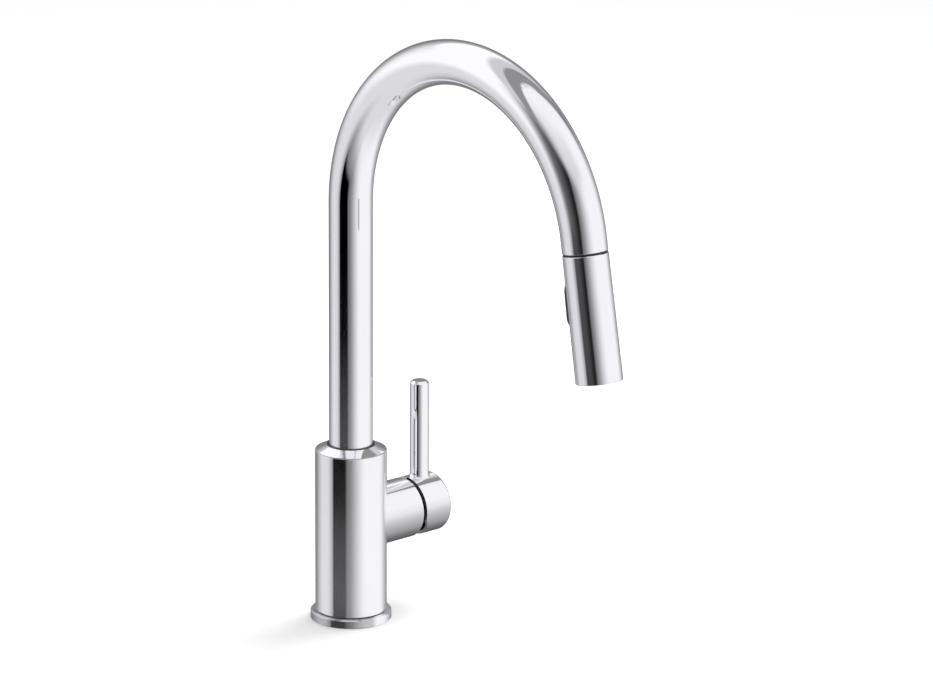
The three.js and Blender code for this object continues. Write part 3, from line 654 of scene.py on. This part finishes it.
cap = {"start": 50.2, "end": 73, "wall": 2.2, "fillet": 2.5, "filletSteps": 10, "flat": 6, "drop": 4,
       "relief": 22, "rim": 0.4, "steps": 192}
# the foot flares into the cap and follows its round over the blend
lever = {"x": 61, "radius": 6.45, "top": 153.5, "chamfer": 1.6, "flare": 1.7, "flareSteps": 8, "sink": 0.35,
         "root": 2, "knee": 5, "blend": 12, "rim": 0.15, "rimAbove": 20, "steps": 96}


def arcPoints(centreR, centreZ, radius, start, end, steps):
    # (radius, height) points round a corner, angles in degrees from the outward direction
    angles = [math.radians(start + (end - start) * i / steps) for i in range(steps + 1)]
    return [(centreR + radius * math.cos(a), centreZ + radius * math.sin(a)) for a in angles]


def makeCap():
    r, f = hub["radius"], cap["fillet"]
    profile = [(r, cap["start"]), (r, (cap["start"] + cap["end"]) / 2)]
    profile += arcPoints(r - f, cap["end"] - f, f, 0, 90, cap["filletSteps"])
    profile += [(r - f - cap["flat"], cap["end"]), (0, cap["end"])]
    bm = turnProfile(profile, cap["steps"], closed=False)
    move(bm, shift(z=hub["height"]) @ alongX)
    slope = math.radians(cap["relief"])
    corner = Vector((cap["start"], 0, hub["height"] - cap["drop"])) * mm
    across = Vector((-math.cos(slope), 0, -math.sin(slope)))
    bmesh.ops.bisect_plane(bm, geom=bm.verts[:] + bm.edges[:] + bm.faces[:], plane_co=corner,
                           plane_no=across, clear_outer=True)
    bmesh.ops.recalc_face_normals(bm, faces=bm.faces)
    # the cap's colour carries the painted shade under the hub
    giveWall(makePiece(bm, "handleCap", "handle_cap", material=hubChrome), cap["wall"], cap["rim"])


def makeLever():
    r, f, chamfer = lever["radius"], lever["flare"], lever["chamfer"]
    foot = hub["radius"] - lever["sink"]
    top = lever["top"] - hub["height"]
    profile = [(0, foot - lever["root"]), (r + f, foot - lever["root"]), (r + f, foot)]
    profile += arcPoints(r + f, foot + f, f, 270, 180, lever["flareSteps"])[1:]
    profile += [(r, foot + lever["knee"]), (r, foot + lever["blend"]), (r, top - chamfer),
                (r - chamfer, top), (0, top)]
    bm = turnProfile(profile, lever["steps"], closed=False)
    roundRims(bm, lever["rim"], angle=30, where=higherThan(foot + lever["rimAbove"], 2))
    hubR = hub["radius"] * mm
    for v in bm.verts:
        share = max(0.0, 1 - max(0.0, v.co.z - foot * mm) / (lever["blend"] * mm))
        v.co.z += share * (math.sqrt(hubR * hubR - v.co.y * v.co.y) - hubR)
    makePiece(move(bm, shift(lever["x"], 0, hub["height"])), "leverRod", "lever_rod")


makeCap()
makeLever()
print("handle ready")

spout = {"radius": 14.6, "wall": 1.7, "foot": 90, "seam": 1.5, "rim": 0.25, "sides": 96, "bendSteps": 120}


def sweepGooseneck(radius, foot, run, sides, bendSteps):
    # a circle drawn up the column's axis, spun round the bend and drawn down the outlet
    bm = bmesh.new()
    bmesh.ops.create_circle(bm, segments=sides, radius=radius * mm)
    move(bm, shift(z=foot))
    edges = bm.edges[:]

    def draw(step, count):
        nonlocal edges
        for _ in range(count):
            made = bmesh.ops.extrude_edge_only(bm, edges=edges)["geom"]
            verts = [g for g in made if isinstance(g, bmesh.types.BMVert)]
            edges = [g for g in made if isinstance(g, bmesh.types.BMEdge)]
            edges = [e for e in edges if all(v in verts for v in e.verts)]
            bmesh.ops.translate(bm, vec=step / count, verts=verts)

    draw(Vector((0, 0, outlet["bendHeight"] - foot)) * mm, outlet["riseSteps"])
    verts = list({v for e in edges for v in e.verts})
    centre = Vector((0, -outlet["bendRadius"], outlet["bendHeight"])) * mm
    spun = bmesh.ops.spin(bm, geom=verts + edges, axis=(1, 0, 0), cent=centre,
                          angle=math.pi - outlet["tilt"], steps=bendSteps)["geom_last"]
    edges = [g for g in spun if isinstance(g, bmesh.types.BMEdge)]
    draw(headFrame.to_3x3() @ Vector((0, 0, -run)) * mm, outlet["runSteps"])
    bmesh.ops.remove_doubles(bm, verts=bm.verts, dist=1e-7)
    bmesh.ops.recalc_face_normals(bm, faces=bm.faces)
    return bm


def makeSpout():
    s = spout
    bm = sweepGooseneck(s["radius"], s["foot"], outlet["run"] - s["seam"], s["sides"], s["bendSteps"])
    giveWall(makePiece(bm, "spoutTube", "spout_tube", material=columnChrome), s["wall"], s["rim"])


# heights in the head's own frame, above its top rim
dock = {"bore": 11.1, "lip": 14.25, "outer": 12.6, "length": 8.8, "lipLow": 0.25, "lipHigh": 1.35,
        "flare": 0.8, "rim": 0.15, "steps": 96}


def makeDock():
    d = dock
    bm = turnProfile([(d["bore"], d["lipLow"]), (d["lip"], d["lipLow"]), (d["lip"], d["lipHigh"]),
                      (d["outer"], d["lipHigh"]), (d["outer"], d["length"]),
                      (d["bore"] + d["flare"], d["length"]), (d["bore"], d["length"] - d["flare"])],
                     d["steps"])
    roundRims(bm, d["rim"], 2)
    makePiece(move(bm, headFrame), "dockBush", "dock_bush")


def sweepHose(atOutlet):
    # the hose from the column to the head, cut where its pulled-out stretch begins; one side is kept
    bm = sweepGooseneck(hose["radius"], hose["foot"], hose["end"], hose["sides"], hose["bendSteps"])
    toHead = headFrame.inverted()
    cut = (outlet["run"] + hose["stretch"]) * mm
    for face in bm.faces:
        middle = face.calc_center_median()
        low = middle.y < -outlet["bendRadius"] * mm and (toHead @ middle).z < cut
        face.tag = low == atOutlet
    bmesh.ops.delete(bm, geom=[f for f in bm.faces if not f.tag], context="FACES")
    bmesh.ops.holes_fill(bm, edges=[e for e in bm.edges if e.is_boundary], sides=0)
    bmesh.ops.recalc_face_normals(bm, faces=bm.faces)
    return bm


def makePullHose():
    makePiece(sweepHose(False), "hoseRun", "pull_hose")
    piece = makePiece(sweepHose(True), "pullHose", "pull_hose", rides=False)
    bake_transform(piece)


ferrule = {"bore": 2.2, "foot": -10.5, "footTop": -8.5, "footRadius": 5.6, "neck": 3.9, "shoulder": -5,
           "radius": 6.2, "top": 8.5, "round": (0.5, 0.4), "crimps": 6, "crimpLow": -3.6, "crimpPitch": 1.9,
           "crimpDepth": 0.35, "crimpEdges": (0.3, 0.8, 1.1), "steps": 64}


def makeFerrule():
    f = ferrule
    r = f["radius"]
    groove = r - f["crimpDepth"]
    profile = [(f["bore"], f["foot"]), (f["footRadius"], f["foot"]), (f["footRadius"], f["footTop"]),
               (f["neck"], f["footTop"]), (f["neck"], f["shoulder"]), (r, f["shoulder"])]
    for i in range(f["crimps"]):
        z = f["crimpLow"] + i * f["crimpPitch"]
        one, two, three = (z + edge for edge in f["crimpEdges"])
        profile += [(r, z), (groove, one), (groove, two), (r, three)]
    across, up = f["round"]
    profile += [(r, f["top"]), (r - across, f["top"] + up), (f["bore"], f["top"])]
    makePiece(move(turnProfile(profile, f["steps"]), headFrame), "hoseFerrule", "hose_ferrule")


makeSpout()
makeDock()
makePullHose()
makeFerrule()
print("spout ready")

# distances down the head's own axis from its top rim
head = {"top": 14.66, "end": 15.17, "length": 81.5, "bore": 13.3, "rim": 0.3, "steps": 192, "rings": 90}
button = {"centre": 32, "length": 30, "width": 14.6, "low": 10.4, "blank": 17, "proud": 3.0, "gap": 0.45,
          "window": (5, 20), "tilt": 1.6, "insets": (1.2, 1.4, 1.6, 1.6), "rim": 0.9, "sides": 64,
          "dish": 0.35, "dishAt": 8.5, "dishWide": 20, "dishLong": 26,
          "lug": (14, 4.2, 5.2), "lugAt": 8.7, "finger": (2.4, 5.6, 2), "fingerAt": 4.6}


def oblongPrism(width, length, low, high, segments=48):
    # a slot shape with round ends, long along Z, between two heights along Y
    bm = bmesh.new()
    bmesh.ops.create_circle(bm, cap_ends=True, segments=segments, radius=width / 2 * mm)
    move(bm, Matrix.Rotation(math.radians(90), 4, "X"))
    half = (length - width) / 2 * mm
    for v in bm.verts:
        if abs(v.co.z) > 1e-6:
            v.co.z += math.copysign(half, v.co.z)
    bmesh.ops.translate(bm, vec=Vector((0, low, 0)) * mm, verts=bm.verts)
    side = bmesh.ops.extrude_face_region(bm, geom=bm.faces[:])["geom"]
    raised = [g for g in side if isinstance(g, bmesh.types.BMVert)]
    bmesh.ops.translate(bm, vec=Vector((0, high - low, 0)) * mm, verts=raised)
    bmesh.ops.recalc_face_normals(bm, faces=bm.faces)
    return bm


def makeHeadShell():
    h, b = head, button
    rings, rim = h["rings"], h["rim"]
    profile = [(h["bore"], 0), (h["top"] - rim, 0)]
    profile += [(h["top"] + (h["end"] - h["top"]) * i / rings, -rim - (h["length"] - 2 * rim) * i / rings)
                for i in range(rings + 1)]
    profile += [(h["end"] - rim, -h["length"]), (h["bore"], -h["length"])]
    piece = makePiece(turnProfile(profile, h["steps"]), "headShell", "head_shell")
    cutter = oblongPrism(b["width"] + 2 * b["gap"], b["length"] + 2 * b["gap"], *b["window"])
    mesh = bpy.data.meshes.new("window")
    move(cutter, shift(z=-b["centre"])).to_mesh(mesh)
    cutter.free()
    window = bpy.data.objects.new("window", mesh)
    bpy.context.collection.objects.link(window)
    cut = piece.modifiers.new("window", "BOOLEAN")
    cut.operation = "DIFFERENCE"
    cut.solver = "EXACT"
    cut.object = window
    applyModifiers(piece)
    bpy.data.objects.remove(window)
    piece.modifiers.clear()
    setConeNormals(piece.data)
    piece.data.transform(headFrame)


def setConeNormals(mesh):
    # the cut leaves long faces beside the window, so the cone gets its exact normals back
    slope = (head["end"] - head["top"]) / head["length"]
    normals = [tuple(n.vector) for n in mesh.corner_normals]
    for polygon in mesh.polygons:
        centre = polygon.center
        flat = Vector((centre.x, centre.y, 0))
        if flat.length < (head["top"] - 0.1) * mm or polygon.normal.dot(flat.normalized()) < 0.99:
            continue
        for corner in polygon.loop_indices:
            point = mesh.vertices[mesh.loops[corner].vertex_index].co
            rise = slope * math.hypot(point.x, point.y)
            normals[corner] = tuple(Vector((point.x, point.y, rise)).normalized())
    mesh.normals_split_custom_set(normals)


def makeBlock(size, y):
    block = bmesh.new()
    scale = Matrix.Diagonal([part * mm for part in size] + [1])
    bmesh.ops.create_cube(block, size=1, matrix=shift(y=y) @ scale)
    return block


def makeToggle():
    b = button
    bm = oblongPrism(b["width"], b["length"], b["low"], b["blank"], b["sides"])
    face = max(bm.faces, key=lambda f: f.calc_center_median().y)
    for width in b["insets"]:
        bmesh.ops.inset_region(bm, faces=[face], thickness=width * mm, use_even_offset=True)
    crown = (head["top"] + head["end"]) / 2 + b["proud"]
    slope = math.tan(math.radians(b["tilt"]))
    for v in bm.verts:
        if v.co.y > (b["blank"] - 0.1) * mm:
            # a crowned face with a shallow dish for the thumb at each end
            x, z = v.co.x / mm, v.co.z / mm
            dish = sum(b["dish"] * math.exp(-(x * x / b["dishWide"] + (z - at) ** 2 / b["dishLong"]))
                       for at in (-b["dishAt"], b["dishAt"]))
            v.co.y = (math.sqrt(crown * crown - x * x) - slope * z - dish) * mm
    rim = [e for e in bm.edges
           if e.calc_face_angle(0) > math.radians(50) and min(v.co.y for v in e.verts) > head["bore"] * mm]
    bmesh.ops.bevel(bm, geom=rim, offset=b["rim"] * mm, segments=4, profile=0.5, affect="EDGES", material=-1)
    joinAll(bm, makeBlock(b["lug"], b["lugAt"]), makeBlock(b["finger"], b["fingerAt"]))
    move(bm, headFrame @ shift(z=-b["centre"]))
    makePiece(bm, "toggleButton", "toggle_button", material=materials["rubber"])


headCollar = {"bore": 7.2, "flange": 13.0, "flangeLow": -4.5, "flangeTop": -0.3, "radius": 10.7, "top": 13,
              "taper": 1.5, "ringLow": 3, "ringTop": 5, "ringDepth": 0.4, "rim": 0.15, "steps": 96}


def makeHeadCollar():
    c = headCollar
    r, k = c["radius"], c["ringDepth"]
    bm = turnProfile([(c["bore"], c["flangeLow"]), (c["flange"], c["flangeLow"]),
                      (c["flange"], c["flangeTop"]), (r, c["flangeTop"]), (r, c["ringLow"]),
                      (r - k, c["ringLow"] + k), (r - k, c["ringTop"] - k), (r, c["ringTop"]),
                      (r, c["top"] - c["taper"]), (r - c["taper"], c["top"]), (c["bore"], c["top"])],
                     c["steps"])
    roundRims(bm, c["rim"], 2)
    makePiece(move(bm, headFrame), "headCollar", "head_collar")


sprayFace = {"low": -80, "inner": 7.2, "outer": 13.0, "plate": 4, "edge": (0.6, 0.5), "dip": 0.25,
             "dipOuter": 11.7, "dipInner": 8.7, "lip": 8.2, "lipDrop": 0.1, "rim": 0.12, "steps": 96,
             "padLow": 4.3, "padTop": 8.2, "padSteps": 64}
nozzles = {"count": 20, "ring": 10.2, "tip": 0.54, "root": 0.9, "proud": 0.7, "rootTop": 5, "sides": 16}


def makeNozzle(turn):
    n = nozzles
    low, high = sprayFace["low"] - n["proud"], sprayFace["low"] + n["rootTop"]
    bm = bmesh.new()
    bmesh.ops.create_cone(bm, cap_ends=True, segments=n["sides"], radius1=n["tip"] * mm,
                          radius2=n["root"] * mm, depth=(high - low) * mm)
    return move(bm, Matrix.Rotation(turn, 4, "Z") @ shift(n["ring"], 0, (low + high) / 2))


def makeSprayFace():
    f = sprayFace
    low, inner, outer = f["low"], f["inner"], f["outer"]
    across, up = f["edge"]
    plate = turnProfile([(inner, low + f["plate"]), (outer, low + f["plate"]), (outer, low + up),
                         (outer - across, low), (f["dipOuter"], low + f["dip"]),
                         (f["dipInner"], low + f["dip"]), (f["lip"], low - f["lipDrop"]),
                         (inner, low - f["lipDrop"])], f["steps"])
    roundRims(plate, f["rim"], 2)
    makePiece(move(plate, headFrame), "sprayFace", "spray_face")
    pad = turnProfile(ringProfile(outer, inner, low + f["padLow"], low + f["padTop"]), f["padSteps"])
    count = nozzles["count"]
    joinAll(pad, *[makeNozzle(2 * math.pi * i / count) for i in range(count)])
    makePiece(move(pad, headFrame), "nozzlePad", "nozzle_pad")


# bars lie in three layers, each turned and a hair higher, so that no two faces share a plane
aerator = {"radius": 6.9, "bore": 3, "height": 8.2, "cup": 4, "lip": (0.3, 0.9), "lipDrop": 0.15,
           "wall": 1.2, "wallLow": 0.2, "turns": (0, 60, 120), "lift": 0.0004, "bars": 5, "barPitch": 1.9,
           "barWidth": 0.28, "barDepth": 1.2, "barAt": 1.0, "steps": 96}


def makeAerator():
    a = aerator
    low, r = sprayFace["low"], a["radius"]
    outer, inner = (r - part for part in a["lip"])
    cage = turnProfile([(a["bore"], low + a["height"]), (r, low + a["height"]), (r, low),
                        (outer, low - a["lipDrop"]), (inner, low - a["lipDrop"]),
                        (r - a["wall"], low + a["wallLow"]), (r - a["wall"], low + a["cup"]),
                        (a["bore"], low + a["cup"])], a["steps"])
    bars = []
    for degrees in a["turns"]:
        turn = Matrix.Rotation(math.radians(degrees), 4, "Z")
        height = low + a["barAt"] + degrees * a["lift"]
        for i in range(a["bars"]):
            y = (i - a["bars"] // 2) * a["barPitch"]
            length = 2 * math.sqrt((r - 1.0) ** 2 - y ** 2)
            bar = makeBlock((length, a["barWidth"], a["barDepth"]), y)
            bars.append(move(bar, turn @ shift(z=height)))
    makePiece(move(joinAll(cage, *bars), headFrame), "aeratorCage", "aerator_cage")


makeHeadShell()
makeToggle()
makeHeadCollar()
makeSprayFace()
makeAerator()
print("spray head ready")

# a thread gives the heights above each turn's start where the crest begins and ends and the root returns
shank = {"radius": 16, "root": 15.1, "bore": 13.5, "foot": -58, "pitch": 1.5, "start": 1,
         "thread": (0.6, 0.8, 1.4), "runOut": (-0.2, 0.4), "head": 20.7, "headLow": 5.3, "headHeight": 7,
         "steps": 72}


def threadProfile(root, crest, low, pitch, turns, heights):
    profile = []
    for i in range(turns):
        z = low + i * pitch
        up, over, down = (z + height for height in heights)
        profile += [(root, z), (crest, up), (crest, over), (root, down)]
    return profile


def makeShank():
    s = shank
    turns = int(-s["foot"] / s["pitch"]) - 1
    end, full = s["runOut"]
    headTop = s["headLow"] + s["headHeight"]
    profile = [(s["bore"], s["foot"]), (s["root"], s["foot"])]
    profile += threadProfile(s["root"], s["radius"], s["foot"] + s["start"], s["pitch"], turns, s["thread"])
    profile += [(s["root"], end), (s["radius"], full), (s["radius"], s["headLow"]), (s["head"], s["headLow"]),
                (s["head"], headTop), (s["bore"], headTop)]
    makePiece(turnProfile(profile, s["steps"]), "threadedShank", "threaded_shank")


clamp = {"deck": 25, "gap": 0.3, "bore": 16.4, "rubber": 2.5, "rubberRadius": 28, "rubberRim": 0.5,
         "steel": 2, "steelRadius": 26, "steelRim": 0.25, "steps": 96}


def makeClamp():
    c = clamp
    top = -c["deck"]
    ring = turnProfile(ringProfile(c["rubberRadius"], c["bore"], top - c["rubber"], top), c["steps"])
    roundRims(ring, c["rubberRim"])
    makePiece(ring, "rubberWasher", "rubber_washer")
    top -= c["rubber"] + c["gap"]
    ring = turnProfile(ringProfile(c["steelRadius"], c["bore"], top - c["steel"], top), c["steps"])
    roundRims(ring, c["steelRim"], 2)
    makePiece(ring, "clampWasher", "clamp_washer")


jackScrew = {"x": 19.9, "radius": 2, "root": 1.7, "length": 15, "tip": 1.4, "tipDrop": 0.2, "turns": 17,
             "pitch": 0.8, "threadDrop": 14.4, "thread": (0.3, 0.4, 0.7), "head": 3.4, "headHeight": 3,
             "headDrop": 16.5, "headRim": 0.25, "steps": 32}


def makeJackScrew(node, name, side):
    j = jackScrew
    r = j["radius"]
    top = -clamp["deck"] - clamp["rubber"] - clamp["steel"] - 3 * clamp["gap"]
    profile = [(0, top - j["length"]), (r, top - j["length"])]
    profile += threadProfile(j["root"], r, top - j["threadDrop"], j["pitch"], j["turns"], j["thread"])
    profile += [(j["tip"], top - j["tipDrop"]), (0, top - j["tipDrop"])]
    body = turnProfile(profile, j["steps"], closed=False)
    cup = bmesh.new()
    bmesh.ops.create_cone(cup, cap_ends=True, segments=6, radius1=j["head"] * mm, radius2=j["head"] * mm,
                          depth=j["headHeight"] * mm, matrix=shift(z=top - j["headDrop"]))
    bmesh.ops.bevel(cup, geom=cup.edges[:], offset=j["headRim"] * mm, segments=2, profile=0.5, affect="EDGES",
                    material=-1)
    makePiece(move(joinAll(body, cup), shift(x=side * j["x"])), name, node)


makeShank()
makeClamp()
makeJackScrew("jack_screw_right", "jackScrewRight", 1)
makeJackScrew("jack_screw_left", "jackScrewLeft", -1)
print("deck fixing ready")
